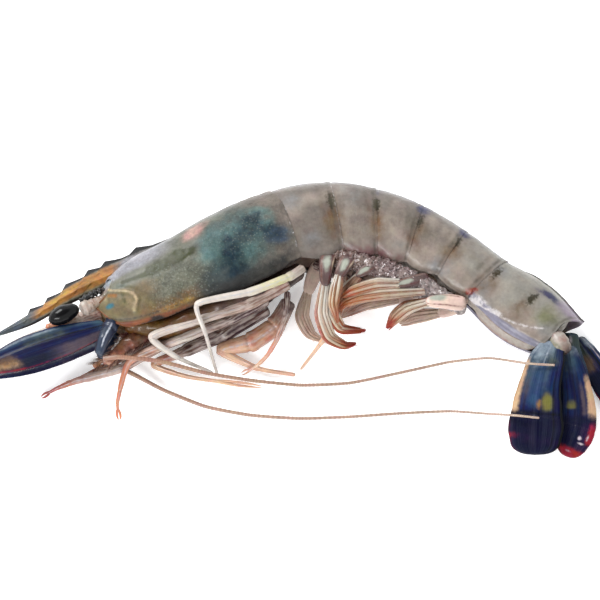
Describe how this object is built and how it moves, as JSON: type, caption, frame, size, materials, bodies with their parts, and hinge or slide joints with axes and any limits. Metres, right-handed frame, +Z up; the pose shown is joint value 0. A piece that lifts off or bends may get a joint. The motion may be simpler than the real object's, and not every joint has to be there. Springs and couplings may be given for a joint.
{
  "type": "raw tiger prawn",
  "caption": "Whole raw tiger prawn with head, legs, antennae and tail fan, lying curved on its side.",
  "frame": {"origin": "under the middle of the prawn's box, on the surface that it lies on", "axes": "+X towards the tail and -X towards the head, +Y towards the curved back, +Z up from the surface; the prawn lies on its right side"},
  "size_m": [0.1834, 0.0808, 0.021],
  "materials": {
    "head_shell": "wet translucent shell, grey-olive with a dark teal patch",
    "tail_shell": "wet translucent shell, grey-brown with darker bands",
    "flesh": "moist, pale",
    "eye": "glossy black",
    "leg": "moist, cream to orange",
    "swimmeret": "moist, cream, brown and orange",
    "fan": "wet, navy blue with cream and red edges",
    "antenna": "finely ringed, pinkish brown"
  },
  "bodies": {
    "root": {"carapace": "head_shell", "tail_segment_1": "tail_shell", "tail_segment_2": "tail_shell", "tail_segment_3": "tail_shell", "tail_segment_4": "tail_shell", "tail_segment_5": "tail_shell", "tail_segment_6": "tail_shell", "thorax_underside": "flesh", "left_eyestalk": "flesh", "left_eye": "eye", "left_antenna_base": "leg", "left_antenna_scale": "fan", "left_antennule": "leg", "right_eyestalk": "flesh", "right_eye": "eye", "right_antenna_base": "leg", "right_antenna_scale": "fan", "right_antennule": "leg", "left_antenna": "antenna", "right_antenna": "antenna", "left_leg_5": "leg", "left_leg_4": "leg", "left_leg_3": "leg", "left_leg_2": "leg", "left_leg_1": "leg", "right_leg_5": "leg", "right_leg_4": "leg", "right_leg_3": "leg", "right_leg_2": "leg", "right_leg_1": "leg", "left_jaw_foot": "leg", "right_jaw_foot": "leg", "left_swimmeret_1": "swimmeret", "left_swimmeret_2": "swimmeret", "left_swimmeret_3": "swimmeret", "left_swimmeret_4": "swimmeret", "left_swimmeret_5": "swimmeret", "right_swimmeret_1": "swimmeret", "right_swimmeret_2": "swimmeret", "right_swimmeret_3": "swimmeret", "right_swimmeret_4": "swimmeret", "right_swimmeret_5": "swimmeret", "left_fan_base": "flesh", "right_fan_base": "flesh", "telson": "fan", "left_outer_fan": "fan", "left_inner_fan": "fan", "right_inner_fan": "fan", "right_outer_fan": "fan"}
  },
  "joints": []
}
